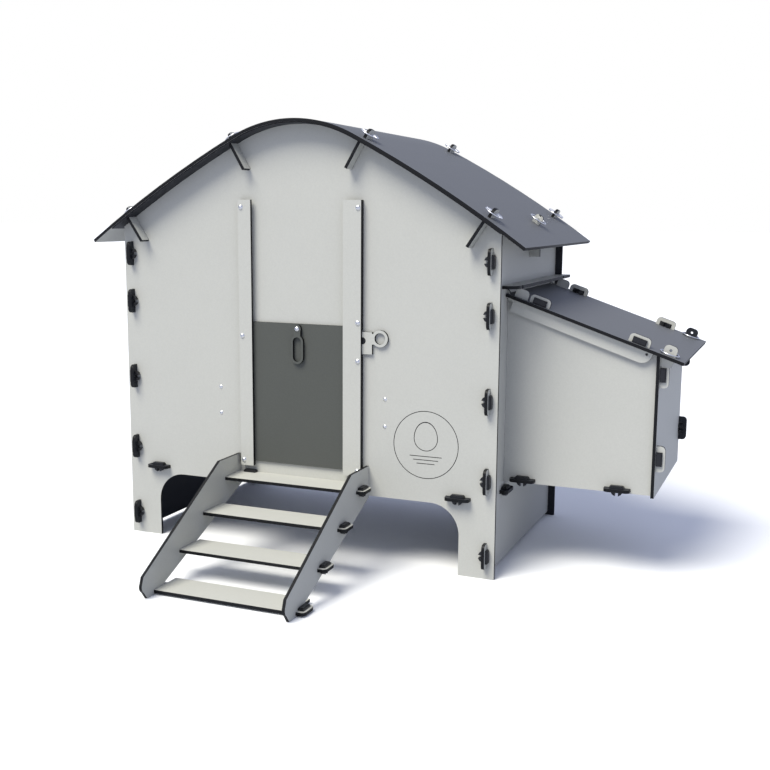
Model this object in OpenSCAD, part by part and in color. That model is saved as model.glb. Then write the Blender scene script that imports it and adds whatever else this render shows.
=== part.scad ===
// Chicken coop of flat laminate sheets: a raised cabin with a curved roof, a sliding pop door,
// a ladder and a nest box with a hinged lid. The sheets join by tabs and snap clips.
// +X is the nest box side, the pop door faces -Y, and +Z is up. The ground is Z = 0.

/* [Sheets] */
// Thickness of every wall, floor, lid and ladder sheet
panel_t = 6; // [5:0.5:7]
// Gap round a tab in its slot
slot_gap = 0.4; // [0.3:0.1:0.6]
// Gap between a sheet's edge and the face it meets
seat_gap = 0.2; // [0.1:0.1:0.4]

/* [Cabin] */
// Width of the front and back panels
cabin_w = 800; // [760:10:960]
// Depth over the front and back panels
cabin_d = 480; // [440:10:580]
// How far the front and back panels stand out past the side walls
side_inset = 14.5; // [12:0.5:20]
// Width of each foot of the front and back panels
foot_w = 70; // [60:5:80]
// Height of the arch between the feet
arch_h = 135; // [110:5:136]
// Radius of the arch's corners
arch_r = 58; // [30:2:70]
// Height of the floor's underside
floor_z = 146; // [144:1:160]
// Gap under the side walls
side_lift = 8; // [5:1:15]

/* [Roof] */
// Height of the roof's ridge
ridge_h = 847; // [840:5:1020]
// Radius of the rounded ridge
ridge_r = 275; // [240:5:300]
// Slope where the rounded ridge ends
ridge_slope = 27; // [24:0.5:29]
// Slope at the eaves
eave_slope = 35.9; // [34:0.1:38]
// How far the eaves reach past the front panel's sides
eave_out = 53; // [45:1:70]
// How far the roof reaches past the front and back panels
roof_over = 33; // [28:1:40]
// Thickness of the dark lining under the roof sheet
liner_t = 2; // [1.5:0.5:3]
// How far the lining reaches past the front panel's sides
liner_out = 8; // [4:1:20]
// Height of each purlin
purlin_h = 55; // [45:1:60]
// Distance of the inner purlins from the middle
purlin_inner = 139; // [130:1:180]
// Distance of the outer purlins from the front panel's sides
purlin_outer = 21.5; // [18:0.5:40]
// How far the purlins reach past the front and back panels
purlin_over = 24; // [18:1:27]
// Height of the middle rib
rib_h = 76; // [70:1:90]
// How far the middle rib's ends stand out of the side walls
rib_out = 20.5; // [19:0.5:24]

/* [Pop door] */
// Sideways place of the middle of the rails
door_x = 3; // [-20:1:20]
// Height of the door's lower edge
sill_z = 182; // [175:1:200]
// Height of the sliding door
door_h = 280; // [250:5:300]
// Thickness of the sliding door
door_t = 4; // [3:0.5:4.5]
// Width of the opening in the front panel
hole_w = 184; // [150:2:190]
// Width over both rails
rails_w = 261; // [255:1:275]
// Width of the left rail's cover
left_cover_w = 28; // [26:1:34]
// Width of the right rail's cover
right_cover_w = 37; // [34:1:40]
// Height of the rails
rail_h = 525; // [500:5:560]

/* [Nest box] */
// How far the nest box stands out from the side wall
nest_out = 279.5; // [240:0.5:320]
// Distance over the two nest sides
nest_w = 321; // [300:1:321]
// Height of the nest sides' lower edges
nest_z = 165; // [160:1:180]
// Slope of the lid
lid_slope = 18.8; // [14:0.1:22]
// Length of the lid down its slope
lid_len = 345.5; // [335:0.5:360]
// How far the lid reaches past the nest sides
lid_side = 19; // [17:1:24]
// Height of the strips under the lid's sides
cheek_h = 25; // [22:1:30]
// Distance of the rain deflector below the side wall's top
deflector_drop = 116; // [105:1:125]
// How far the rain deflector stands out
deflector_out = 29; // [24:1:30]

/* [Ladder] */
// Number of treads
tread_n = 4; // [3:1:4]
// Depth of each tread
tread_d = 70; // [60:1:80]
// Step from one tread to the next, forwards
tread_run = 83.6; // [80:0.2:95]
// Width between the ladder's sides
ladder_w = 275; // [275:1:300]

/* [Tabs and clips] */
// Length of a tab
tab_w = 48; // [44:1:52]
// How far a tab stands out past the sheet it locks
tab_out = 16; // [15:1:20]
// Length of a tread's tab
tread_tab_w = 40; // [38:1:44]
// Length of the window that a clip snaps into
win_w = 25; // [24:1:28]

/* [Perches] */
// Width of a perch bar
perch_w = 38; // [30:1:44]
// Height of a perch bar
perch_h = 28; // [22:1:34]
// Distance of the perches from the middle
perch_x = 178.7; // [165:0.1:220]
// Height of the perches' middles
perch_z = 299.8; // [250:0.1:330]

/* [Hidden] */

$fn = 48;
light_grey = "#CDCDCB";
dark_grey = "#747A80";
door_grey = "#61645F";
black = "#17181C";
steel = "#B9BCC0";
wood = "#B98D5C";

// Tabs and clips
tab_r = 8;              // rounding of a tab's free corners
win_d = 9;              // depth of the window, out from the locked sheet
clip_gap = 0.3;         // gap round a clip in its window
head_w = 26;            // length of a clip's head
head_t = 5;             // thickness of a clip's head
head_d = 11;            // depth of a clip's head
prong_l = 8;            // length of a clip's prongs past the tab
prong_w = 5;
barb = 2.5;             // how far a prong's barb stands out
overlap = 1;            // how far a tab's root runs back into its own sheet

// Cabin
wall_x = cabin_w / 2 - side_inset;      // outer face of the side walls
wall_in = wall_x - panel_t;             // inner face of the side walls
back_y = cabin_d - panel_t;             // inner face of the back panel
floor_tab_x = cabin_w / 2 - foot_w - 2; // floor tabs through the front and back panels
floor_tab_y = 99;                       // floor tabs through the side walls, from each end
floor_mid = floor_z + panel_t / 2;

// Roof: a rounded ridge that runs on into a gentler curve down to each eave
roof_t = panel_t;
eave_x = cabin_w / 2 + eave_out;
slope_r = (eave_x - ridge_r * sin(ridge_slope)) / (sin(eave_slope) - sin(ridge_slope));
ridge_c = [0, ridge_h - ridge_r];
slope_c = [(ridge_r - slope_r) * sin(ridge_slope), ridge_c[1] + (ridge_r - slope_r) * cos(ridge_slope)];
lining_gap = 0.3;
frame_depth = roof_t + liner_t + seat_gap;  // from the roof's top to what carries it
function slope_at(x, d) = asin((x - slope_c[0]) / (slope_r - d));
function roof_z(x, d) = slope_c[1] + (slope_r - d) * cos(slope_at(x, d));
function half_line(d, end_slope) = concat(
    [for (i = [0:12]) ridge_c + (ridge_r - d) * [sin(ridge_slope * i / 12), cos(ridge_slope * i / 12)]],
    [for (i = [1:8]) let (a = ridge_slope + (end_slope - ridge_slope) * i / 8)
        slope_c + (slope_r - d) * [sin(a), cos(a)]]);
function flip_line(line) = [for (i = [len(line) - 1:-1:1]) [-line[i][0], line[i][1]]];
function roof_line(d, end_slope) = concat(flip_line(half_line(d, end_slope)), half_line(d, end_slope));
function back_to_front(line) = [for (i = [len(line) - 1:-1:0]) line[i]];
side_top = roof_z(wall_x, frame_depth) - seat_gap;
purlin_x = [purlin_inner, cabin_w / 2 - purlin_outer];
purlin_tab = 30;        // length of a purlin's tab
pin_tab_out = 18;       // how far the pinned tabs stand out
pin_hole_r = 2.6;
pin_hole_out = 9;       // height of the pin hole above the sheet
purlin_tab_y = [5, cabin_d - 5];
rib_foot_z = side_top - 63;     // underside of the rib's ends
rib_tab = 17;
rib_tab_x = wall_x + 10;

// Rows of tabs up the corners of the cabin
tab_row = [45, 187, 336, side_top - 161, side_top - 64];
rib_y = cabin_d / 2 + 15;

// Pop door: the door, the spacers and the latch share one layer between the panel and the covers
layer_t = panel_t;
slide_gap = 0.5;
rail_left = door_x - rails_w / 2;
rail_right = door_x + rails_w / 2;
rail_z = sill_z - 9;
rail_top = rail_z + rail_h;
cover_left = rail_left + left_cover_w;      // inner edge of the left cover
cover_right = rail_right - right_cover_w;   // inner edge of the right cover
door_left = cover_left - 9.5;
door_right = cover_right + 18.5;
door_y = -door_t - 0.6;                     // front face of the door
hole_h = door_h - 54;
hole_z = sill_z + 4;
hole_r = 20;
screw_inset = 6.5;
screw_r = 3;
head_r = 5.3;
latch_z = sill_z + 250;                     // middle of the latch plate
latch_h = 42;
latch_t = 5.6;
latch_tip_h = 32;
latch_tip_z = latch_z - 2;
latch_travel = 16;
latch_left = rail_right - 27;               // thick end of the latch, at rest
latch_lip = 12;                             // thin lip that laps over the door
latch_end = rail_right + 20.5;
latch_ring = [rail_right + 36.5, latch_z + 9.4];
stud = [rail_right + 0.5, latch_z + 4];     // stud that stops the latch
stud_r = 6.5;
screw_left_z = [rail_z + 11, latch_z + 2, rail_top - 14];
screw_right_z = [rail_z + 11, latch_z - 35, latch_z + 38, rail_top - 14];
handle_gap = 0.3;
handle_pin_r = 2.5;
handle_x = (cover_left + cover_right) / 2;
handle_z = sill_z + door_h - 9.5;
handle_y = door_y - handle_gap - panel_t;   // front face of the handle
handle_drop = 40;                           // pivot to the middle of the finger slot
badge = [262, 245];                         // middle of the engraved badge
badge_r = 65;
groove = 1.4;
groove_d = 0.8;
bracket_screw = 26.4;                       // height of a bracket's screws above and below its middle
bracket_screw_r = 2.5;

// Nest box
nest_x = wall_x + nest_out;                 // inner face of the outer panel
nest_mid = 263.5;                           // middle of the nest box, from the front
near_y = nest_mid - nest_w / 2;             // outer face of the near side
far_y = nest_mid + nest_w / 2;              // outer face of the far side
outer_flange = 7;
deflector_z = side_top - deflector_drop;    // underside of the rain deflector
lid_x = wall_x + 2.5;                       // upper end of the lid
lid_z = deflector_z - 9.6;                  // its top face there
hinge_x = wall_x - panel_t / 2;             // the lid turns in the middle of the side wall
hinge = [hinge_x, lid_z + (lid_x - hinge_x) * tan(lid_slope) - panel_t / 2 / cos(lid_slope)];
nose_r = 9;
hook_r = 16;
ear = [18, 44, 20];                         // ear above the lid, measured from the hinge axis
lid_tab = [63, 258];                        // clip tabs, down the lid
lid_tab_w = 40;
pin_ear = 24;
pin_ear_s = 314;                            // middle of the pinned ears, down the lid
cheek_gap = 2;
cheek_end = 288;
nest_floor_z = nest_z + 3;
nest_floor_tabs = [wall_x + 38, wall_x + 218];
outer_tab_z = [nest_z + 70, nest_z + 225];  // tabs of the sides through the outer panel
wall_tab_z = [nest_z + 116, nest_z + 256];  // tabs of the sides through the wall
access = [nest_z + 22, deflector_z - 60];   // lower and upper edge of the way into the nest
divider_h = 120;

// Ladder
stack_gap = 0.3;                            // between the top tread and the floor tabs that carry it
ladder_left = door_x - ladder_w / 2;        // inner faces of the ladder's sides
ladder_right = door_x + ladder_w / 2;
tread_top = floor_z + 2 * panel_t + stack_gap;
tread_rise = (tread_top - 9.4) / (tread_n - 1);
tread_front = 64;                           // front edge of the top tread, out from the panel
tread_tab_y = 23;                           // middle of a tread's tab, back from its front edge
step_x = ladder_w / 2 - 24.5;               // floor tabs under the top tread, either side of the middle

// The whole coop's box on the ground has the origin at its middle
centre_x = (lid_x + lid_len * cos(lid_slope) - eave_x) / 2;
ladder_front = tread_front + tread_run * (tread_n - 1) + 36;
centre_y = (cabin_d + roof_over - ladder_front) / 2;
module placed() translate([-centre_x, -centre_y, 0]) children();

// Flat sheets, drawn as outlines: upright across the coop, upright along it, and lying flat
module across(y, t = panel_t) translate([0, y + t, 0]) rotate([90, 0, 0]) linear_extrude(t) children();
module along(x, t = panel_t) translate([x, 0, 0]) rotate([90, 0, 90]) linear_extrude(t) children();
module flat(z, t = panel_t) translate([0, 0, z]) linear_extrude(t) children();

// Outline of a tab that stands up from the face of the sheet it locks, at v = 0
module tab_outline(w = tab_w, root = panel_t + seat_gap) {
    difference() {
        union() {
            translate([-w / 2, -root - overlap]) square([w, root + overlap + tab_out - tab_r]);
            translate([-w / 2 + tab_r, 0]) square([w - 2 * tab_r, tab_out]);
            for (s = [-1, 1]) translate([s * (w / 2 - tab_r), tab_out - tab_r]) circle(tab_r);
        }
        translate([-win_w / 2, 0]) square([win_w, win_d]);
    }
}
module slot_outline(w = tab_w, t = panel_t) square([w + 2 * slot_gap, t + 2 * slot_gap], center = true);

// Outline of a tab that a ring pin goes through
module pin_tab_outline(w, root) {
    difference() {
        union() {
            translate([-w / 2, -root - overlap]) square([w, root + overlap + pin_tab_out - w / 3]);
            translate([-w / 6, 0]) square([w / 3, pin_tab_out]);
            for (s = [-1, 1]) translate([s * w / 6, pin_tab_out - w / 3]) circle(w / 3);
        }
        translate([0, pin_hole_out]) circle(pin_hole_r);
    }
}

// A clip, snapped through a tab's window. The tab's length runs along X, it stands out along Y,
// and the head is on its +Z side, over a stack of other sheets
module clip(stack = 0, legs = prong_l) {
    d = win_d - 2 * clip_gap;
    w = win_w - 2 * clip_gap;
    h = panel_t / 2 + clip_gap;
    translate([0, clip_gap, 0]) {
        translate([-w / 2, 0, -h]) cube([w, d, 2 * h + stack]);
        translate([-head_w / 2, 0, h + stack]) cube([head_w, head_d, head_t - 1.5]);
        translate([-head_w / 2 + 1.5, 1, h + stack]) cube([head_w - 3, head_d - 2.5, head_t]);
        for (s = [-1, 1]) translate([0, d, 0]) rotate([90, 0, 0]) linear_extrude(d) polygon([
            [s * 3, -h + 0.5], [s * 3, -h - legs], [s * (3 + prong_w), -h - 0.65 * legs],
            [s * (3 + prong_w + barb), -h - 1], [s * (3 + prong_w + barb), -h + 0.5]]);
    }
}

// A ring pin: a shank along X, with its wire ring lying in the XY plane to one side
module ring_pin(shank = 34, draw = 0) {
    wire_r = 1.3;
    ring_r = 17;
    translate([draw, 0, 0]) rotate([0, 90, 0]) cylinder(r = 2.3, h = shank, center = true);
    translate([draw, 0, 0]) rotate_extrude() translate([ring_r, 0]) circle(wire_r, $fn = 16);
}

// Front and back panels
module gable_outline() {
    line = roof_line(frame_depth, slope_at(cabin_w / 2, frame_depth));
    difference() {
        polygon(concat([[-cabin_w / 2, 0]], line, [[cabin_w / 2, 0]]));
        arch_outline();
        for (s = [-1, 1], z = tab_row) translate([s * (wall_x - panel_t / 2), z]) rotate(90) slot_outline();
        for (s = [-1, 1]) translate([s * floor_tab_x, floor_mid]) slot_outline();
        for (s = [-1, 1], x = purlin_x) at_purlin(s * x) purlin_slot();
        for (p = bracket_places()) translate(p) circle(bracket_screw_r);
    }
}
module arch_outline() {
    half = cabin_w / 2 - foot_w;
    translate([-half, -overlap]) square([2 * half, arch_h - arch_r + overlap]);
    translate([-half + arch_r, 0]) square([2 * (half - arch_r), arch_h]);
    for (s = [-1, 1]) translate([s * (half - arch_r), arch_h - arch_r]) circle(arch_r);
}
// The inner purlins lean a little more than the roof
function lean(x) = slope_at(abs(x), 0) + (abs(x) < cabin_w / 4 ? 3 : 0);
// Places a purlin's cross-section: v = 0 is the roof's top face and +v points out of it
module at_purlin(x) {
    a = lean(x);
    translate([x, roof_z(abs(x), 0)]) rotate(-sign(x) * a) children();
}
module purlin_slot() translate([-panel_t / 2 - slot_gap, -frame_depth - purlin_h - slot_gap])
    square([panel_t + 2 * slot_gap, frame_depth + purlin_h]);

module front_panel() {
    color(light_grey) difference() {
        across(0) difference() {
            gable_outline();
            rounded_box(door_x, hole_z, hole_w, hole_h, hole_r);
            for (p = screw_places()) translate(p) circle(screw_r + 0.3);
            for (s = [-1, 1]) translate([door_x + s * step_x, floor_mid]) slot_outline();
            translate(stud) circle(screw_r);
        }
        translate([badge[0], groove_d, badge[1]]) rotate([90, 0, 0])
            linear_extrude(groove_d + overlap) badge_outline();
    }
}
module rounded_box(x, z, w, h, r) {
    translate([x - w / 2 + r, z]) square([w - 2 * r, h]);
    translate([x - w / 2, z + r]) square([w, h - 2 * r]);
    for (s = [-1, 1], t = [0, 1]) translate([x + s * (w / 2 - r), z + r + t * (h - 2 * r)]) circle(r);
}
module ring_outline(r) difference() {
    circle(r);
    circle(r - groove);
}
// A plain badge: a ring round an egg that lies on three straws
module badge_outline() {
    ring_outline(badge_r, $fn = 96);
    translate([0, 12]) difference() {
        egg_outline(24);
        egg_outline(24 - groove);
    }
    for (i = [0:2]) translate([0, -22 - 7 * i]) square([64 - 14 * i, groove], center = true);
}
module egg_outline(r) {
    polygon([for (a = [0:7.5:352.5]) [r * cos(a), r * sin(a) * (a < 180 ? 1.35 : 1)]]);
}
function screw_places() = concat(
    [for (z = screw_left_z) [rail_left + screw_inset, z]],
    [for (z = screw_right_z) [rail_right - screw_inset, z]]);
function bracket_places() = [for (s = [-1, 1], t = [-1, 1]) [s * perch_x, perch_z + t * bracket_screw]];
module back_panel() {
    color(light_grey) across(back_y) gable_outline();
}

// Side walls
module wall_outline() {
    front = panel_t + seat_gap;
    back = back_y - seat_gap;
    difference() {
        union() {
            translate([front, side_lift]) square([back - front, side_top - side_lift]);
            for (z = tab_row) {
                translate([0, z]) rotate(90) tab_outline();
                translate([cabin_d, z]) rotate(-90) tab_outline();
            }
        }
        for (y = [floor_tab_y, cabin_d - floor_tab_y]) translate([y, floor_mid]) slot_outline();
        translate([rib_y - panel_t / 2 - slot_gap, rib_foot_z - slot_gap])
            square([panel_t + 2 * slot_gap, side_top]);
    }
}
module left_side_wall() {
    color(light_grey) along(-wall_x) wall_outline();
}
module right_side_wall() {
    color(light_grey) along(wall_in) difference() {
        wall_outline();
        nest_doorways();
        for (y = [near_y, far_y - panel_t], z = wall_tab_z)
            translate([y + panel_t / 2, z]) rotate(90) slot_outline();
        for (y = [near_y - cheek_gap - panel_t, far_y + cheek_gap])
            translate([y - 0.5, hinge[1] - nose_r - 0.4]) square([panel_t + 1, 2 * nose_r + 0.8]);
        for (y = [nest_mid - 110, nest_mid + 110])
            translate([y, deflector_z + panel_t / 2]) slot_outline();
    }
}
// Two ways into the nest box, either side of its divider
module nest_doorways() {
    w = nest_w / 2 - panel_t - 34;
    for (s = [-1, 1])
        rounded_box(nest_mid + s * (w / 2 + 13), access[0], w, access[1] - access[0], 30);
}

module floor_panel() {
    x = wall_in - seat_gap;
    color(light_grey) flat(floor_z) {
        translate([-x, panel_t + seat_gap]) square([2 * x, cabin_d - 2 * (panel_t + seat_gap)]);
        for (s = [-1, 1]) {
            for (x = [s * floor_tab_x, door_x + s * step_x]) translate([x, 0]) rotate(180) tab_outline();
            translate([s * floor_tab_x, cabin_d]) tab_outline();
            for (y = [floor_tab_y, cabin_d - floor_tab_y])
                translate([s * wall_x, y]) rotate(-s * 90) tab_outline();
        }
    }
}

// Roof
module roof_band(d0, d1, end_slope) {
    polygon(concat(roof_line(d0, end_slope), back_to_front(roof_line(d1, end_slope))));
}
module roof_slots() {
    for (s = [-1, 1], x = purlin_x, y = purlin_tab_y)
        translate([0, y + purlin_tab / 2 + slot_gap, 0]) rotate([90, 0, 0])
            linear_extrude(purlin_tab + 2 * slot_gap) at_purlin(s * x)
                square([panel_t + 2 * slot_gap, 3 * frame_depth], center = true);
    for (s = [-1, 1]) across(rib_y - panel_t / 2 - slot_gap, panel_t + 2 * slot_gap) at_purlin(s * rib_tab_x)
        square([rib_tab + 2 * slot_gap, 3 * frame_depth], center = true);
}
module roof_sheet() {
    color(dark_grey) difference() {
        across(-roof_over, cabin_d + 2 * roof_over) roof_band(0, roof_t, eave_slope);
        roof_slots();
    }
}
module roof_lining() {
    front = roof_over - 0.5;
    color(black) difference() {
        across(-front, cabin_d + 2 * front)
            roof_band(roof_t + lining_gap, roof_t + liner_t, slope_at(cabin_w / 2 + liner_out, roof_t));
        roof_slots();
    }
}
module purlin(x) {
    a = lean(x);
    translate([x, 0, roof_z(abs(x), 0)]) rotate([0, sign(x) * a, 0]) along(-panel_t / 2) {
        translate([-purlin_over, -frame_depth - purlin_h]) square([cabin_d + 2 * purlin_over, purlin_h - seat_gap]);
        for (y = purlin_tab_y) translate([y, 0]) pin_tab_outline(purlin_tab, frame_depth);
    }
}
module outer_purlin_left() {
    color(light_grey) purlin(-purlin_x[1]);
}
module inner_purlin_left() {
    color(light_grey) purlin(-purlin_x[0]);
}
module inner_purlin_right() {
    color(light_grey) purlin(purlin_x[0]);
}
module outer_purlin_right() {
    color(light_grey) purlin(purlin_x[1]);
}
// The middle rib follows the roof, drops into slots in the side walls and holds the eaves down
module middle_rib() {
    end_x = wall_x + rib_out;
    color(light_grey) across(rib_y - panel_t / 2) difference() {
        union() {
            roof_band(frame_depth, frame_depth + rib_h, eave_slope);
            for (s = [-1, 1]) at_purlin(s * rib_tab_x) pin_tab_outline(rib_tab, frame_depth + rib_tab);
        }
        translate([-cabin_w, rib_foot_z - ridge_h]) square([2 * cabin_w, ridge_h]);
        for (s = [-1, 1]) translate([s * (end_x + cabin_w / 2), rib_foot_z])
            square([cabin_w, 2 * (roof_z(end_x, frame_depth) - rib_foot_z + 1)], center = true);
        for (s = [-1, 1], x = purlin_x) at_purlin(s * x) purlin_slot();
    }
}

// Rails of the pop door
module rail_box(x0, x1, z0, z1) translate([x0, z0]) square([x1 - x0, z1 - z0]);
module left_rail_spacer() {
    color(light_grey) across(-layer_t) difference() {
        union() {
            rail_box(rail_left, door_left - slide_gap, rail_z, rail_top);
            rail_box(rail_left, cover_left - 2, rail_z, sill_z - seat_gap);
        }
        for (p = screw_places()) translate(p) circle(screw_r + 0.3);
    }
}
module left_rail_cover() {
    color(light_grey) across(-2 * layer_t) difference() {
        rail_box(rail_left, cover_left, rail_z, rail_top);
        for (p = screw_places()) translate(p) circle(screw_r + 0.3);
    }
}
module right_rail_spacer() {
    color(light_grey) across(-layer_t) difference() {
        union() {
            rail_box(door_right + slide_gap, rail_right, rail_z, rail_top);
            rail_box(cover_right + 2, rail_right, rail_z, sill_z - seat_gap);
        }
        for (p = screw_places()) translate(p) circle(screw_r + 0.3);
        rail_box(door_right - 5, rail_right + 5, latch_z - latch_h / 2 - 3, latch_z + latch_h / 2 + 3);
    }
}
module right_rail_cover() {
    color(light_grey) across(-2 * layer_t) difference() {
        rail_box(cover_right, rail_right, rail_z, rail_top);
        for (p = screw_places()) translate(p) circle(screw_r + 0.3);
    }
}
module rail_screws() {
    color(steel) for (p = screw_places()) translate([p[0], -2 * layer_t, p[1]]) rotate([-90, 0, 0]) {
        cylinder(r = screw_r, h = 2 * layer_t + panel_t + 7);
        button_head(head_r, 3.3);
    }
}
// A domed head with a hexagon socket, on the -Z side
module button_head(r, h) {
    dome = (r * r + h * h) / (2 * h);
    difference() {
        intersection() {
            translate([0, 0, dome - h]) sphere(dome);
            translate([0, 0, -h]) cylinder(r = r, h = h);
        }
        translate([0, 0, -h - 1]) cylinder(r = 0.38 * r, h = 0.6 * h + 1, $fn = 6);
    }
}
module rail_nuts() {
    color(steel) for (p = screw_places()) translate([p[0], panel_t, p[1]]) rotate([-90, 0, 0]) difference() {
        cylinder(r = 5.77, h = 5, $fn = 6);
        translate([0, 0, -overlap]) cylinder(r = screw_r + 0.05, h = 5 + 2 * overlap);
    }
}
module pop_door() {
    color(door_grey) across(door_y, door_t) difference() {
        rail_box(door_left, door_right, sill_z, sill_z + door_h);
        rail_box(latch_left - 0.5, door_right + 1, sill_z - 1, latch_z + latch_h / 2 + 1);
        translate([handle_x, handle_z]) circle(handle_pin_r);
    }
}
// The handle hangs on one screw
module door_handle() {
    slot_r = 8.7;
    rim = 4.5;
    half = 15;
    color(door_grey) across(handle_y) translate([handle_x, handle_z]) difference() {
        union() {
            circle(8.5);
            translate([-7.5, -handle_drop + half]) square([15, handle_drop - half]);
            for (s = [-1, 1]) translate([0, -handle_drop + s * half]) circle(slot_r + rim);
            translate([-slot_r - rim, -handle_drop - half]) square([2 * (slot_r + rim), 2 * half]);
        }
        circle(handle_pin_r + 0.05);
        for (s = [-1, 1]) translate([0, -handle_drop + s * half]) circle(slot_r);
        translate([-slot_r, -handle_drop - half]) square([2 * slot_r, 2 * half]);
    }
}
module handle_screw() {
    color(steel) translate([handle_x, door_y + door_t, handle_z]) rotate([90, 0, 0]) {
        cylinder(r = handle_pin_r, h = door_t + panel_t + 2 * handle_gap);
        translate([0, 0, door_t + panel_t + 2 * handle_gap]) rotate([180, 0, 0]) button_head(4.8, 2.4);
    }
}
// The latch slides between the two halves of the right spacer, and its slot runs on the stud
module latch_plate() {
    color(light_grey) {
        across(-latch_t - 0.2, latch_t) difference() {
            union() {
                latch_tip(latch_left, latch_left + 8);
                rail_box(latch_left + 7, latch_end, latch_z - latch_h / 2, latch_z + latch_h / 2);
                rail_box(latch_end - 1, latch_ring[0] - 8, latch_z - 2, latch_z + latch_h / 2 - 3);
                translate(latch_ring) circle(16);
            }
            translate(latch_ring) circle(10.8);
            rail_box(stud[0] - latch_travel, stud[0], stud[1] - stud_r - 0.4, stud[1] + stud_r + 0.4);
            for (x = [-latch_travel - 0.3, 0.3]) translate([stud[0] + x, stud[1]]) circle(stud_r + 0.4);
        }
        across(-latch_t - 0.2, 0.9)
            latch_tip(latch_left - latch_lip, latch_left + 1);
    }
}
module latch_tip(x0, x1) rail_box(x0, x1, latch_tip_z - latch_tip_h / 2, latch_tip_z + latch_tip_h / 2);
module latch_stop_stud() {
    color(black) translate([stud[0], -layer_t + 0.2, stud[1]]) rotate([-90, 0, 0]) {
        cylinder(r = stud_r, h = layer_t - 0.2);
        cylinder(r = screw_r, h = layer_t + panel_t - 1);
    }
}

// Perches, in brackets that are screwed to the front and back panels
bracket_t = 5;
bracket_d = 24;
module perch(x) {
    r = 8;
    gap = panel_t + bracket_t + seat_gap;
    color(wood) across(gap, cabin_d - 2 * gap) translate([x, perch_z - perch_h / 2]) {
        translate([-perch_w / 2, 0]) square([perch_w, perch_h - r]);
        translate([-perch_w / 2 + r, 0]) square([perch_w - 2 * r, perch_h]);
        for (s = [-1, 1]) translate([s * (perch_w / 2 - r), perch_h - r]) circle(r);
    }
}
module perch_left() {
    perch(-perch_x);
}
module perch_right() {
    perch(perch_x);
}
module perch_brackets() {
    w = perch_w + 8;
    h = 2 * bracket_screw + 18;
    floor_t = 4;
    color(black) for (x = [-perch_x, perch_x], back = [0, 1]) {
        across(back ? back_y - bracket_t : panel_t, bracket_t) translate([x, perch_z]) difference() {
            square([w, h], center = true);
            for (t = [-1, 1]) translate([0, t * bracket_screw]) circle(bracket_screw_r);
        }
        across(back ? back_y - bracket_d : panel_t + bracket_t - 1, bracket_d - bracket_t + 1)
            translate([x, perch_z - perch_h / 2]) difference() {
                translate([-w / 2, -floor_t - seat_gap]) square([w, floor_t + perch_h * 0.7]);
                translate([-perch_w / 2 - 0.3, -seat_gap]) square([perch_w + 0.6, perch_h]);
            }
    }
}
module perch_screws() {
    color(steel) for (p = bracket_places(), back = [0, 1])
        translate([p[0], back ? cabin_d : 0, p[1]]) rotate([back ? 90 : -90, 0, 0]) {
            cylinder(r = bracket_screw_r, h = panel_t + bracket_t - 1);
            button_head(4, 2);
        }
}

// Nest box. Its lid's frame: u runs down the lid from its upper end, v stands out of its top face
module at_lid() translate([lid_x, lid_z]) rotate(-lid_slope) children();
function lid_under(x) = lid_z - (x - lid_x) * tan(lid_slope) - (panel_t + 0.6) / cos(lid_slope);
module nest_side(y) {
    x0 = wall_x + seat_gap;
    x1 = nest_x - seat_gap;
    color(light_grey) across(y) {
        difference() {
            union() {
                polygon([[x0, nest_z], [x1, nest_z], [x1, lid_under(x1)], [x0, lid_under(x0)]]);
                ear_outline();
                for (z = wall_tab_z) translate([wall_in, z]) rotate(90) tab_outline();
                for (z = outer_tab_z) translate([nest_x + panel_t, z]) rotate(-90) tab_outline();
            }
            for (x = nest_floor_tabs) translate([x, nest_floor_z + panel_t / 2]) slot_outline();
        }
    }
}
// The ear that stands up through the lid and takes a ring pin
module ear_outline() {
    at_lid() {
        translate([pin_ear_s, 0]) pin_tab_outline(pin_ear, panel_t + 0.6);
        translate([pin_ear_s - 45, -panel_t - 0.6 - 15]) square([45 + pin_ear / 2, 15]);
    }
}
module nest_side_near() {
    nest_side(near_y);
}
module nest_side_far() {
    nest_side(far_y - panel_t);
}
module nest_outer_panel() {
    y0 = near_y - outer_flange;
    y1 = far_y + outer_flange;
    color(light_grey) along(nest_x) difference() {
        translate([y0, nest_z - 3]) square([y1 - y0, lid_under(nest_x + panel_t) - nest_z + 3]);
        for (y = [near_y, far_y - panel_t]) {
            for (z = outer_tab_z) translate([y + panel_t / 2, z]) rotate(90) slot_outline();
            translate([y - slot_gap, lid_under(nest_x + panel_t) - 18]) square([panel_t + 2 * slot_gap, 20]);
        }
    }
}
module nest_floor() {
    y0 = near_y + panel_t + seat_gap;
    y1 = far_y - panel_t - seat_gap;
    color(light_grey) flat(nest_floor_z) {
        translate([wall_x + seat_gap, y0]) square([nest_out - 2 * seat_gap, y1 - y0]);
        for (x = nest_floor_tabs) {
            translate([x, near_y]) rotate(180) tab_outline();
            translate([x, far_y]) tab_outline();
        }
    }
}
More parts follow.
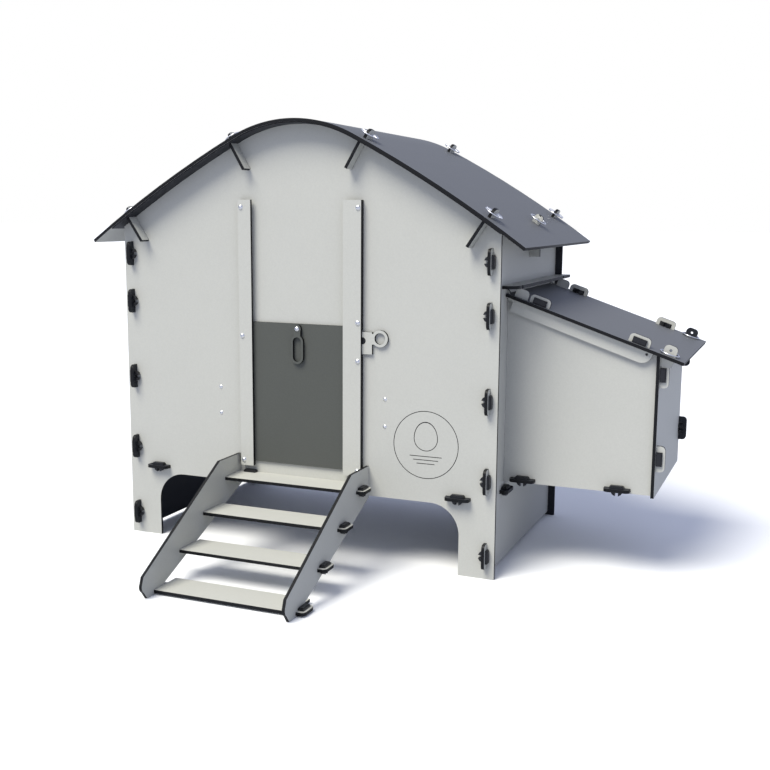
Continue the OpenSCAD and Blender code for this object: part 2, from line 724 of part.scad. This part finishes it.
// The divider stands on the nest floor and splits it in two
module nest_divider() {
    z = nest_floor_z + panel_t + seat_gap;
    color(light_grey) across(nest_mid - panel_t / 2)
        translate([wall_x + seat_gap, z]) square([nest_out - 2 * seat_gap, divider_h]);
}
module nest_lid() {
    w = nest_w + 2 * lid_side;
    slot = panel_t + 2 * slot_gap;
    color(dark_grey) translate([lid_x, nest_mid - w / 2, lid_z]) rotate([0, lid_slope, 0])
        translate([0, 0, -panel_t]) linear_extrude(panel_t) difference() {
            square([lid_len, w]);
            for (y = [lid_side - cheek_gap - panel_t, w - lid_side + cheek_gap], u = lid_tab)
                translate([u, y + panel_t / 2]) slot_outline(lid_tab_w);
            for (y = [lid_side - cheek_gap - panel_t - slot_gap, w - lid_side + cheek_gap - slot_gap])
                translate([-1, y]) square([ear[1] - (lid_x - hinge_x) + 2, slot]);
            for (y = [lid_side - slot_gap - 0.5, w - lid_side - panel_t - slot_gap - 0.5])
                translate([pin_ear_s - pin_ear / 2 - 3, y]) square([pin_ear + 6, slot + 1]);
        }
}
// A strip under the lid's side. Its nose turns in a slot of the side wall and hooks on behind it
module lid_cheek(y) {
    r = 20;
    color(light_grey) across(y) difference() {
        union() {
            at_lid() {
                translate([14, -panel_t - cheek_h]) square([cheek_end - 14 - r, cheek_h - seat_gap]);
                translate([14, -panel_t - cheek_h + r]) square([cheek_end - 14, cheek_h - seat_gap - r]);
                intersection() {
                    translate([cheek_end - r, -panel_t - cheek_h + r]) circle(r);
                    translate([cheek_end - r, -panel_t - cheek_h]) square([r, cheek_h - seat_gap]);
                }
                for (u = lid_tab) translate([u, 0]) tab_outline(lid_tab_w);
            }
            translate(hinge) {
                circle(nose_r);
                rotate(-lid_slope) {
                    translate([7, -nose_r]) square([13, nose_r + panel_t / 2]);
                    translate([ear[0], -nose_r]) square([ear[1] - ear[0], nose_r + ear[2] - 8]);
                    translate([ear[0] + 8, 0]) square([ear[1] - ear[0] - 16, ear[2]]);
                    for (x = [ear[0] + 8, ear[1] - 8]) translate([x, ear[2] - 8]) circle(8);
                }
                intersection() {
                    circle(hook_r);
                    polygon([[0, 0], for (a = [150, 182, 215]) 2 * hook_r * [cos(a), sin(a)]]);
                }
            }
        }
        at_lid() translate([cheek_end - 10, -panel_t - 6]) circle(2.5);
    }
}
module lid_cheek_near() {
    lid_cheek(near_y - cheek_gap - panel_t);
}
module lid_cheek_far() {
    lid_cheek(far_y + cheek_gap);
}
module rain_deflector() {
    y0 = 60;
    y1 = cabin_d + 15;
    x0 = wall_x + seat_gap;
    r = 25;
    color(light_grey) flat(deflector_z) difference() {
        union() {
            translate([x0, y0 + r]) square([deflector_out, y1 - y0 - r]);
            translate([x0, y0]) square([deflector_out - r, r + overlap]);
            intersection() {
                translate([x0 + deflector_out - r, y0 + r]) circle(r);
                translate([x0, y0]) square([deflector_out, r]);
            }
            for (y = [nest_mid - 110, nest_mid + 110]) translate([wall_in, y]) rotate(90) tab_outline();
        }
        translate([x0 - 1, back_y - slot_gap])
            square([cabin_w / 2 - x0 + 1 + slot_gap, panel_t + 2 * slot_gap]);
        for (y = [near_y - cheek_gap - panel_t - 0.5, far_y + cheek_gap - 0.5])
            translate([x0 + 10, y]) square([deflector_out, panel_t + 1]);
    }
}

// Ladder
function tread_y(i) = -tread_front - tread_run * i;
function tread_z(i) = tread_top - tread_rise * i;
module ladder_outline() {
    difference() {
        polygon([[-seat_gap, 132], [-seat_gap, 194], [-82, 194], [-ladder_front + 6, 42],
            for (a = [150:10:240]) [-ladder_front + 12 + 12 * cos(a), 24 + 12 * sin(a)],
            [-ladder_front + 16, 0], [-ladder_front + 41, 0]]);
        for (i = [0:tread_n - 1])
            translate([tread_y(i) + tread_tab_y, tread_z(i) - panel_t / 2]) slot_outline(tread_tab_w);
    }
}
module ladder_side_left() {
    color(light_grey) along(ladder_left - panel_t) ladder_outline();
}
module ladder_side_right() {
    color(light_grey) along(ladder_right) ladder_outline();
}
module tread(i) {
    depth = i == 0 ? tread_front - seat_gap : tread_d;
    color(light_grey) flat(tread_z(i) - panel_t) {
        difference() {
            translate([ladder_left + seat_gap, tread_y(i)]) square([ladder_w - 2 * seat_gap, depth]);
            if (i == 0) for (s = [-1, 1])
                translate([door_x + s * step_x - win_w / 2, -win_d]) square([win_w, win_d]);
        }
        translate([ladder_left - panel_t, tread_y(i) + tread_tab_y]) rotate(90) tab_outline(tread_tab_w);
        translate([ladder_right + panel_t, tread_y(i) + tread_tab_y]) rotate(-90) tab_outline(tread_tab_w);
    }
}
module tread_1() {
    tread(0);
}
module tread_2() {
    tread(1);
}
module tread_3() {
    tread(2);
}
module tread_4() {
    if (tread_n > 3) tread(3);
}

// Clips. Each place turns the clip so that it stands out of the locked sheet
module corner_clips(y, out) {
    for (s = [-1, 1], z = tab_row) translate([s * (wall_x - panel_t / 2), y, z])
        rotate([0, 0, out < 0 ? 180 : 0]) rotate([0, s * sign(out) * 90, 0]) clip();
    for (s = [-1, 1]) translate([s * floor_tab_x, y, floor_mid]) rotate([0, 0, out < 0 ? 180 : 0]) clip();
}
module front_clips() {
    color(black) corner_clips(0, -1);
}
module back_clips() {
    color(black) corner_clips(cabin_d, 1);
}
module wall_clips() {
    color(black) for (s = [-1, 1], y = [floor_tab_y, cabin_d - floor_tab_y])
        translate([s * wall_x, y, floor_mid]) rotate([0, 0, -s * 90]) clip();
}
module nest_clips() {
    color(black) {
        for (x = nest_floor_tabs, z = [nest_floor_z + panel_t / 2]) {
            translate([x, near_y, z]) rotate([0, 0, 180]) clip();
            translate([x, far_y, z]) clip();
        }
        for (s = [-1, 1]) {
            y = nest_mid + s * (nest_w - panel_t) / 2;
            for (z = outer_tab_z) translate([nest_x + panel_t, y, z])
                rotate([0, 0, -90]) rotate([0, -s * 90, 0]) clip();
            for (z = wall_tab_z) translate([wall_in, y, z]) rotate([0, 0, 90]) rotate([0, s * 90, 0]) clip();
        }
        for (y = [nest_mid - 110, nest_mid + 110])
            translate([wall_in, y, deflector_z + panel_t / 2]) rotate([0, 0, 90]) clip();
    }
}
module ladder_clips() {
    color(black) for (i = [0:tread_n - 1]) {
        y = tread_y(i) + tread_tab_y;
        z = tread_z(i) - panel_t / 2;
        legs = min(prong_l, z - panel_t / 2 - clip_gap - 0.3);
        translate([ladder_left - panel_t, y, z]) rotate([0, 0, 90]) clip(legs = legs);
        translate([ladder_right + panel_t, y, z]) rotate([0, 0, -90]) clip(legs = legs);
    }
    color(black) for (s = [-1, 1]) translate([door_x + s * step_x, 0, floor_mid])
        rotate([0, 0, 180]) clip(panel_t + stack_gap);
}
module lid_clips() {
    color(black) translate([lid_x, 0, lid_z]) rotate([0, lid_slope, 0]) for (u = lid_tab) {
        translate([u, near_y - cheek_gap - panel_t / 2, 0]) rotate([90, 0, 0]) clip();
        translate([u, far_y + cheek_gap + panel_t / 2, 0]) rotate([90, 0, 180]) clip();
    }
}
// Ring pins through the roof's tabs. The lid's pins lie round their tabs, drawn back from the holes
module roof_ring_pins() {
    color(steel) {
        for (s = [-1, 1], x = purlin_x, y = purlin_tab_y)
            translate([s * x, y, roof_z(x, 0)]) rotate([0, s * lean(x), 0])
                translate([0, 0, pin_hole_out]) ring_pin();
        for (s = [-1, 1]) translate([s * rib_tab_x, rib_y, roof_z(rib_tab_x, 0)])
            rotate([0, s * slope_at(rib_tab_x, 0), 0])
                translate([0, 0, pin_hole_out]) rotate([0, 0, 90]) ring_pin();
    }
}
module lid_ring_pins() {
    color(steel) translate([lid_x, 0, lid_z]) rotate([0, lid_slope, 0])
        for (y = [near_y + panel_t / 2, far_y - panel_t / 2])
            translate([pin_ear_s, y, 3.2]) lid_pin();
}
module lid_pin() {
    rotate_extrude() translate([17, 0]) circle(1.3, $fn = 16);
    translate([0, 11, 0]) rotate([0, 90, 0]) cylinder(r = 2.3, h = 26, center = true);
}

placed() front_panel();
placed() back_panel();
placed() left_side_wall();
placed() right_side_wall();
placed() floor_panel();
placed() roof_sheet();
placed() roof_lining();
placed() outer_purlin_left();
placed() inner_purlin_left();
placed() inner_purlin_right();
placed() outer_purlin_right();
placed() middle_rib();
placed() left_rail_spacer();
placed() left_rail_cover();
placed() right_rail_spacer();
placed() right_rail_cover();
placed() rail_screws();
placed() rail_nuts();
placed() pop_door();
placed() door_handle();
placed() handle_screw();
placed() latch_plate();
placed() latch_stop_stud();
placed() perch_left();
placed() perch_right();
placed() perch_brackets();
placed() perch_screws();
placed() nest_side_near();
placed() nest_side_far();
placed() nest_outer_panel();
placed() nest_floor();
placed() nest_divider();
placed() nest_lid();
placed() lid_cheek_near();
placed() lid_cheek_far();
placed() rain_deflector();
placed() ladder_side_left();
placed() ladder_side_right();
placed() tread_1();
placed() tread_2();
placed() tread_3();
placed() tread_4();
placed() front_clips();
placed() back_clips();
placed() wall_clips();
placed() nest_clips();
placed() ladder_clips();
placed() lid_clips();
placed() roof_ring_pins();
placed() lid_ring_pins();
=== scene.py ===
from itertools import product
from math import cos, pi, radians, sin

import bpy
from bpy.props import FloatProperty, FloatVectorProperty, PointerProperty, StringProperty
from mathutils import Matrix, Vector


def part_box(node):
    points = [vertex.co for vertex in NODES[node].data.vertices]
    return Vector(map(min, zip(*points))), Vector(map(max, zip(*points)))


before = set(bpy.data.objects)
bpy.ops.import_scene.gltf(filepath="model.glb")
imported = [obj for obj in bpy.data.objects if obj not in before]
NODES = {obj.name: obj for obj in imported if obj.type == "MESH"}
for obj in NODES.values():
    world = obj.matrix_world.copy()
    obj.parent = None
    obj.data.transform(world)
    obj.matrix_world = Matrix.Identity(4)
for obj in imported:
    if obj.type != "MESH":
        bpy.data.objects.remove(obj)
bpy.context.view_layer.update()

bl_info = {
    "name": "Chicken coop",
    "version": (1, 0, 0),
    "blender": (4, 5, 0),
    "location": "3D View > Sidebar > Coop",
    "description": "Finishes and details of a laminate chicken coop",
    "category": "Object",
}

MM = 0.001
LID_TILT = radians(18.8)
X, Y, Z = Vector((1, 0, 0)), Vector((0, 1, 0)), Vector((0, 0, 1))
LID_UP = Vector((sin(LID_TILT), 0, cos(LID_TILT)))
FACE_DEPTH = 0.3 * MM       # how far below a sheet's outermost face its decor still counts as that face
KEY_COLOUR = (1.0, 0.97, 0.88)
FILL_COLOUR = (0.78, 0.86, 1.16, 1)
RING_GAP = 4.2              # mm between the growth lines of the pine
FLOOR_REACH = 40            # metres from the middle of the floor to its edges


# Colours and shader nodes

def linear(text):
    """An sRGB hex colour as the linear RGBA that shaders take."""
    values = [int(text[i:i + 2], 16) / 255 for i in (1, 3, 5)]
    return (*[v / 12.92 if v <= 0.04045 else ((v + 0.055) / 1.055) ** 2.4 for v in values], 1)


def add(tree, kind, settings=None, **inputs):
    """Adds one node, with its settings and its inputs set to values or linked to outputs."""
    made = tree.nodes.new(kind)
    for name, value in (settings or {}).items():
        setattr(made, name, value)
    for name, value in inputs.items():
        key = int(name[1:]) if name[0] == "i" and name[1:].isdigit() else name.replace("_", " ")
        socket = made.inputs[key]
        if isinstance(value, bpy.types.NodeSocket):
            tree.links.new(value, socket)
        else:
            socket.default_value = value
    return made


def new_material(name):
    """An empty material with its shader and the object's own coordinates."""
    made = bpy.data.materials.new(name)
    made.use_nodes = True
    tree = made.node_tree
    return made, tree, tree.nodes["Principled BSDF"], add(tree, "ShaderNodeTexCoord")


def repeats(size):
    """Texture scale at which a pattern is about this many mm across."""
    return 1 / (size * MM)


def above(tree, value, limit):
    return add(tree, "ShaderNodeMath", {"operation": "GREATER_THAN"}, i0=value, i1=limit).outputs[0]


def times(tree, a, b):
    return add(tree, "ShaderNodeMath", {"operation": "MULTIPLY"}, i0=a, i1=b).outputs[0]


def mixed(tree, factor, a, b):
    """Colour a where factor is 0 and colour b where it is 1."""
    made = add(tree, "ShaderNodeMix", {"data_type": "RGBA"})
    for socket, value in ((made.inputs[0], factor), (made.inputs[6], a), (made.inputs[7], b)):
        if isinstance(value, bpy.types.NodeSocket):
            tree.links.new(value, socket)
        else:
            socket.default_value = value
    return made.outputs[2]


def laminate(name, axis, face, back, core, limit=0.9, back_limit=0.9, level=None, back_level=None, grain=1.0):
    """Compact laminate: pressed resin and paper, with a matt decor on one or both faces and a black
    core that shows at every cut edge. The eye sees flat pale sheets with crisp black outlines."""
    made, tree, shader, place = new_material(name)
    where, normal = place.outputs["Object"], place.outputs["Normal"]
    along = {"operation": "DOT_PRODUCT"}
    facing = add(tree, "ShaderNodeVectorMath", along, i0=normal, i1=axis).outputs["Value"]
    height = add(tree, "ShaderNodeVectorMath", along, i0=where, i1=axis).outputs["Value"]
    on_face = above(tree, facing, limit)
    on_back = above(tree, times(tree, facing, -1.0), back_limit)
    if level is not None:
        on_face = times(tree, on_face, above(tree, height, level - FACE_DEPTH))
        on_back = times(tree, on_back, above(tree, times(tree, height, -1.0), back_level - FACE_DEPTH))
    # The decor's fibres make faint clouds some 150 mm wide and a fleck about 3 mm across
    clouds = add(tree, "ShaderNodeTexNoise", Vector=where, Scale=repeats(143), Detail=3.0)
    fleck = add(tree, "ShaderNodeTexNoise", Vector=where, Scale=repeats(2.94), Detail=3.0, Roughness=0.7)
    tone = add(tree, "ShaderNodeMath", {"operation": "MULTIPLY_ADD"},
               i0=clouds.outputs["Fac"], i1=0.05, i2=0.975).outputs[0]
    speck = add(tree, "ShaderNodeMath", {"operation": "MULTIPLY_ADD"},
                i0=fleck.outputs["Fac"], i1=0.16 * grain, i2=-0.08 * grain).outputs[0]
    bright = add(tree, "ShaderNodeMath", {"operation": "ADD"}, i0=tone, i1=speck).outputs[0]
    plain = mixed(tree, on_back, mixed(tree, on_face, linear(core), linear(face)), linear(back))
    colour = add(tree, "ShaderNodeVectorMath", {"operation": "SCALE"}, i0=plain, Scale=bright).outputs[0]
    tree.links.new(colour, shader.inputs["Base Color"])
    # A matt, slightly orange-peel surface with a texture about 1 mm across
    peel = add(tree, "ShaderNodeTexNoise", Vector=where, Scale=repeats(1.11), Detail=2.0)
    bump = add(tree, "ShaderNodeBump", Strength=0.12, Distance=0.1 * MM, Height=peel.outputs["Fac"])
    tree.links.new(bump.outputs[0], shader.inputs["Normal"])
    rough = add(tree, "ShaderNodeMath", {"operation": "MULTIPLY_ADD"},
                i0=fleck.outputs["Fac"], i1=0.12, i2=0.46).outputs[0]
    tree.links.new(rough, shader.inputs["Roughness"])
    shader.inputs["Specular IOR Level"].default_value = 0.3
    return made


def moulded_nylon(name, colour):
    """Moulded glass-filled nylon: black, with the fine spark-eroded grain of its mould."""
    made, tree, shader, place = new_material(name)
    where = place.outputs["Object"]
    grain = add(tree, "ShaderNodeTexNoise", Vector=where, Scale=repeats(0.71), Detail=2.0)
    tone = add(tree, "ShaderNodeMath", {"operation": "MULTIPLY_ADD"},
               i0=grain.outputs["Fac"], i1=0.3, i2=0.85)
    colour = add(tree, "ShaderNodeVectorMath", {"operation": "SCALE"},
                 i0=linear(colour)[:3], Scale=tone.outputs[0]).outputs[0]
    tree.links.new(colour, shader.inputs["Base Color"])
    bump = add(tree, "ShaderNodeBump", Strength=0.25, Distance=0.1 * MM, Height=grain.outputs["Fac"])
    tree.links.new(bump.outputs[0], shader.inputs["Normal"])
    shader.inputs["Roughness"].default_value = 0.42
    return made


def bright_steel(name, colour, rough):
    """Zinc-plated steel: a bright grey metal whose plating clouds the highlights a little."""
    made, tree, shader, place = new_material(name)
    cloud = add(tree, "ShaderNodeTexNoise", Vector=place.outputs["Object"],
                Scale=repeats(3.85), Detail=4.0)
    spread = add(tree, "ShaderNodeMath", {"operation": "MULTIPLY_ADD"},
                 i0=cloud.outputs["Fac"], i1=0.16, i2=rough - 0.08)
    tree.links.new(spread.outputs[0], shader.inputs["Roughness"])
    bump = add(tree, "ShaderNodeBump", Strength=0.08, Distance=0.1 * MM, Height=cloud.outputs["Fac"])
    tree.links.new(bump.outputs[0], shader.inputs["Normal"])
    shader.inputs["Base Color"].default_value = linear(colour)
    shader.inputs["Metallic"].default_value = 1
    return made


def planed_pine(name, pale, dark):
    """Planed pine: long growth lines some 4 mm apart that wander along the bar."""
    made, tree, shader, place = new_material(name)
    stretched = add(tree, "ShaderNodeMapping", Vector=place.outputs["Object"], Scale=(1.0, 0.06, 1.0))
    rings = add(tree, "ShaderNodeTexWave", {"bands_direction": "X"}, Vector=stretched.outputs[0],
                Scale=pi / 10 / (RING_GAP * MM), Distortion=6.0, Detail=3.0, Detail_Scale=0.6)
    fibre = add(tree, "ShaderNodeTexNoise", Vector=stretched.outputs[0],
                Scale=repeats(0.67), Detail=2.0)
    blend = add(tree, "ShaderNodeMath", {"operation": "MULTIPLY_ADD", "use_clamp": True},
                i0=fibre.outputs["Fac"], i1=0.3, i2=times(tree, rings.outputs["Fac"], 0.75))
    tree.links.new(mixed(tree, blend.outputs[0], linear(pale), linear(dark)), shader.inputs["Base Color"])
    bump = add(tree, "ShaderNodeBump", Strength=0.2, Distance=0.1 * MM, Height=blend.outputs[0])
    tree.links.new(bump.outputs[0], shader.inputs["Normal"])
    shader.inputs["Roughness"].default_value = 0.6
    return made


def finish_node(node, material, bevel=0.35):
    """Gives a CAD node its material, crisp shading and a fine bevel in mm that catches the light."""
    made = NODES[node]
    made.data.materials.clear()
    made.data.materials.append(material)
    made.data.shade_smooth()
    made.data.set_sharp_from_angle(angle=radians(30))
    if bevel:
        edge = made.modifiers.new("Eased edges", "BEVEL")
        edge.width = bevel * MM
        edge.segments = 2
        edge.limit_method = "ANGLE"
        edge.angle_limit = radians(40)
        edge.harden_normals = False
    return made


def levels(node, axis):
    """Distances of a flat node's two faces along its axis and against it."""
    low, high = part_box(node)
    spots = [Vector(corner).dot(axis) for corner in product(*zip(low, high))]
    return max(spots), -min(spots)


def sheet_node(node, axis, face, back, core, grain=1.0, flat=True, bevel=0.35, **limits):
    """A flat node of compact laminate, with its faces told apart by the way they look."""
    axis = Vector(axis)
    high, low = levels(node, axis) if flat else (None, None)
    title = "Compact laminate, " + node.replace("_", " ")
    material = laminate(title, axis, face, back, core, level=high, back_level=low, grain=grain, **limits)
    return finish_node(node, material, bevel)


class CoopColours(bpy.types.PropertyGroup):
    light: StringProperty(name="Light grey", description="Light decor of the sheets", default="#BDBDB5")
    dark: StringProperty(name="Dark grey", description="Decor of the roof and the lid", default="#626467")
    door: StringProperty(name="Door grey", description="Decor of the pop door", default="#52544F")
    core: StringProperty(name="Core", description="Core that shows at cut edges", default="#08090B")
    inside: StringProperty(name="Inside", description="Decor of the inner faces", default="#24262B")
    clip: StringProperty(name="Clips", description="Moulded clips", default="#15161A")
    steel: StringProperty(name="Steel", description="Screws and ring pins", default="#E6E7E9")
    pine: StringProperty(name="Pine", description="Perches, pale wood", default="#D9B27E")
    pine_dark: StringProperty(name="Pine rings", description="Perches, growth lines", default="#A97743")


class CoopStudio(bpy.types.PropertyGroup):
    key: FloatProperty(name="Key light", description="Strength of the key light", default=3.86, min=0)
    fill: FloatProperty(name="Fill light", description="Strength of the light from all round",
                        default=0.56, min=0)
    azimuth: FloatProperty(name="Key azimuth", description="Side the key light comes from",
                           default=radians(205), subtype="ANGLE")
    height: FloatProperty(name="Key height", description="Height of the key light above the horizon",
                          default=radians(56), subtype="ANGLE")
    softness: FloatProperty(name="Key softness", description="Angle across the key light",
                            default=radians(32), subtype="ANGLE")
    lens: FloatProperty(name="Lens", description="Focal length in mm", default=50.13, min=10)
    eye: FloatVectorProperty(name="Eye", description="Place of the camera", subtype="TRANSLATION",
                             unit="LENGTH", default=(0.80506, -1.9314, 0.6757))
    turn: FloatProperty(name="Turn", description="Turn of the camera to the left", default=radians(22.26),
                        subtype="ANGLE")
    tilt: FloatProperty(name="Tilt", description="Tilt of the camera downwards", default=radians(9.15),
                        subtype="ANGLE")
    roll: FloatProperty(name="Roll", description="Roll of the camera", default=radians(0.383),
                        subtype="ANGLE")


class COOP_OT_walls(bpy.types.Operator):
    """Finishes the cabin's walls and floor: pale outside, black inside"""
    bl_idname = "coop.walls"
    bl_label = "Walls and floor"

    def execute(self, context):
        c = context.scene.coop_colours
        for node, axis in (("front_panel", -Y), ("back_panel", Y), ("left_side_wall", -X),
                           ("right_side_wall", X), ("floor_panel", -Z), ("nest_side_near", -Y),
                           ("nest_side_far", Y), ("nest_outer_panel", X), ("nest_floor", -Z)):
            sheet_node(node, axis, c.light, c.inside, c.core)
        sheet_node("nest_divider", Y, c.inside, c.inside, c.core)
        return {"FINISHED"}


class COOP_OT_roof(bpy.types.Operator):
    """Finishes the roof sheet, its lining, the purlins and the middle rib"""
    bl_idname = "coop.roof"
    bl_label = "Roof"

    def execute(self, context):
        c = context.scene.coop_colours
        sheet_node("roof_sheet", Z, c.dark, c.light, c.core, flat=False, limit=0.5, back_limit=0.7)
        sheet_node("roof_lining", Z, c.inside, c.inside, c.core, flat=False, limit=0.5, back_limit=0.7)
        for node in ("outer_purlin_left", "inner_purlin_left", "inner_purlin_right", "outer_purlin_right"):
            sheet_node(node, X, c.light, c.light, c.core, flat=False, limit=0.7, back_limit=0.7)
        sheet_node("middle_rib", -Y, c.light, c.light, c.core)
        sheet_node("rain_deflector", Z, c.light, c.light, c.core)
        return {"FINISHED"}


class COOP_OT_door(bpy.types.Operator):
    """Finishes the pop door, its rails, handle and latch"""
    bl_idname = "coop.door"
    bl_label = "Pop door"

    def execute(self, context):
        c = context.scene.coop_colours
        for node in ("left_rail_spacer", "left_rail_cover", "right_rail_spacer", "right_rail_cover",
                     "latch_plate"):
            sheet_node(node, -Y, c.light, c.light, c.core)
        for node in ("pop_door", "door_handle"):
            sheet_node(node, -Y, c.door, c.door, c.core, grain=1.6)
        return {"FINISHED"}


class COOP_OT_nest(bpy.types.Operator):
    """Finishes the nest box's lid and the strips under it"""
    bl_idname = "coop.nest"
    bl_label = "Nest lid"

    def execute(self, context):
        c = context.scene.coop_colours
        sheet_node("nest_lid", LID_UP, c.dark, c.light, c.core, flat=False)
        for node in ("lid_cheek_near", "lid_cheek_far"):
            sheet_node(node, -Y, c.light, c.light, c.core)
        return {"FINISHED"}


class COOP_OT_ladder(bpy.types.Operator):
    """Finishes the ladder's sides and treads"""
    bl_idname = "coop.ladder"
    bl_label = "Ladder"

    def execute(self, context):
        c = context.scene.coop_colours
        for node in ("ladder_side_left", "ladder_side_right"):
            sheet_node(node, X, c.light, c.light, c.core)
        for node in ("tread_1", "tread_2", "tread_3", "tread_4"):
            sheet_node(node, Z, c.light, c.light, c.core)
        return {"FINISHED"}


class COOP_OT_fixings(bpy.types.Operator):
    """Finishes the clips, screws, nuts, ring pins and perches"""
    bl_idname = "coop.fixings"
    bl_label = "Clips, screws and perches"

    def execute(self, context):
        c = context.scene.coop_colours
        nylon = moulded_nylon("Moulded black nylon", c.clip)
        for node in ("front_clips", "back_clips", "wall_clips", "nest_clips", "ladder_clips", "lid_clips",
                     "latch_stop_stud", "perch_brackets"):
            finish_node(node, nylon, 0.6)
        steel = bright_steel("Zinc-plated steel", c.steel, 0.34)
        for node in ("rail_screws", "rail_nuts", "handle_screw", "perch_screws", "roof_ring_pins",
                     "lid_ring_pins"):
            finish_node(node, steel, 0)
        pine = planed_pine("Planed pine", c.pine, c.pine_dark)
        for node in ("perch_left", "perch_right"):
            finish_node(node, pine, 1.0)
        return {"FINISHED"}


class COOP_OT_stage(bpy.types.Operator):
    """Makes the pale floor, the studio light and the camera"""
    bl_idname = "coop.stage"
    bl_label = "Studio"

    def execute(self, context):
        s = context.scene.coop_studio
        mesh = bpy.data.meshes.new("Studio floor")
        corners = [(x * FLOOR_REACH, y * FLOOR_REACH, 0) for x, y in ((-1, -1), (1, -1), (1, 1), (-1, 1))]
        mesh.from_pydata(corners, [], [(0, 1, 2, 3)])
        floor = bpy.data.objects.new("Studio floor", mesh)
        context.scene.collection.objects.link(floor)
        # Matt white studio paint, that lights the coop's undersides less than a real floor would
        made, tree, shader, place = new_material("Matt white studio paint")
        seen = add(tree, "ShaderNodeLightPath").outputs["Is Camera Ray"]
        tree.links.new(mixed(tree, seen, linear("#B6BAC4"), linear("#F6F7F8")), shader.inputs["Base Color"])
        shader.inputs["Roughness"].default_value = 0.8
        mesh.materials.append(made)

        world = bpy.data.worlds.new("Studio")
        context.scene.world = world
        world.use_nodes = True
        tree = world.node_tree
        tree.nodes.clear()
        seen = add(tree, "ShaderNodeLightPath").outputs["Is Camera Ray"]
        soft = add(tree, "ShaderNodeBackground", Color=FILL_COLOUR, Strength=s.fill)
        white = add(tree, "ShaderNodeBackground", Color=(1, 1, 1, 1), Strength=1.0)
        both = add(tree, "ShaderNodeMixShader", i0=seen, i1=soft.outputs[0], i2=white.outputs[0])
        add(tree, "ShaderNodeOutputWorld", Surface=both.outputs[0])

        light = bpy.data.lights.new("Key light", "SUN")
        light.energy = s.key
        light.angle = s.softness
        light.color = KEY_COLOUR
        key = bpy.data.objects.new("Key light", light)
        toward = Vector((sin(s.azimuth) * cos(s.height), cos(s.azimuth) * cos(s.height), sin(s.height)))
        key.rotation_euler = toward.to_track_quat("Z", "Y").to_euler()
        context.scene.collection.objects.link(key)

        lens = bpy.data.cameras.new("Camera")
        lens.lens = s.lens
        lens.sensor_width = 36
        lens.clip_start = 0.05
        camera = bpy.data.objects.new("Camera", lens)
        camera.location = s.eye
        turned = Matrix.Rotation(s.turn, 3, "Z") @ Matrix.Rotation(pi / 2 - s.tilt, 3, "X")
        camera.rotation_euler = (turned @ Matrix.Rotation(s.roll, 3, "Z")).to_euler()
        context.scene.collection.objects.link(camera)
        context.scene.camera = camera
        context.scene.view_settings.view_transform = "Standard"
        return {"FINISHED"}


OPERATORS = (COOP_OT_walls, COOP_OT_roof, COOP_OT_door, COOP_OT_nest, COOP_OT_ladder, COOP_OT_fixings,
             COOP_OT_stage)


class COOP_PT_panel(bpy.types.Panel):
    """Lists the coop's pieces"""
    bl_idname = "COOP_PT_panel"
    bl_label = "Chicken coop"
    bl_space_type = "VIEW_3D"
    bl_region_type = "UI"
    bl_category = "Coop"

    def draw(self, context):
        for group in (context.scene.coop_colours, context.scene.coop_studio):
            for name in group.__annotations__:
                self.layout.prop(group, name)
        for operator in OPERATORS:
            self.layout.operator(operator.bl_idname)


CLASSES = (CoopColours, CoopStudio, *OPERATORS, COOP_PT_panel)


def register():
    for item in CLASSES:
        bpy.utils.register_class(item)
    bpy.types.Scene.coop_colours = PointerProperty(type=CoopColours)
    bpy.types.Scene.coop_studio = PointerProperty(type=CoopStudio)


def unregister():
    del bpy.types.Scene.coop_colours
    del bpy.types.Scene.coop_studio
    for item in reversed(CLASSES):
        bpy.utils.unregister_class(item)


def main():
    register()
    for operator in OPERATORS:
        group, name = operator.bl_idname.split(".")
        getattr(getattr(bpy.ops, group), name)()
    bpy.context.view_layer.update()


if __name__ == "__main__":
    main()
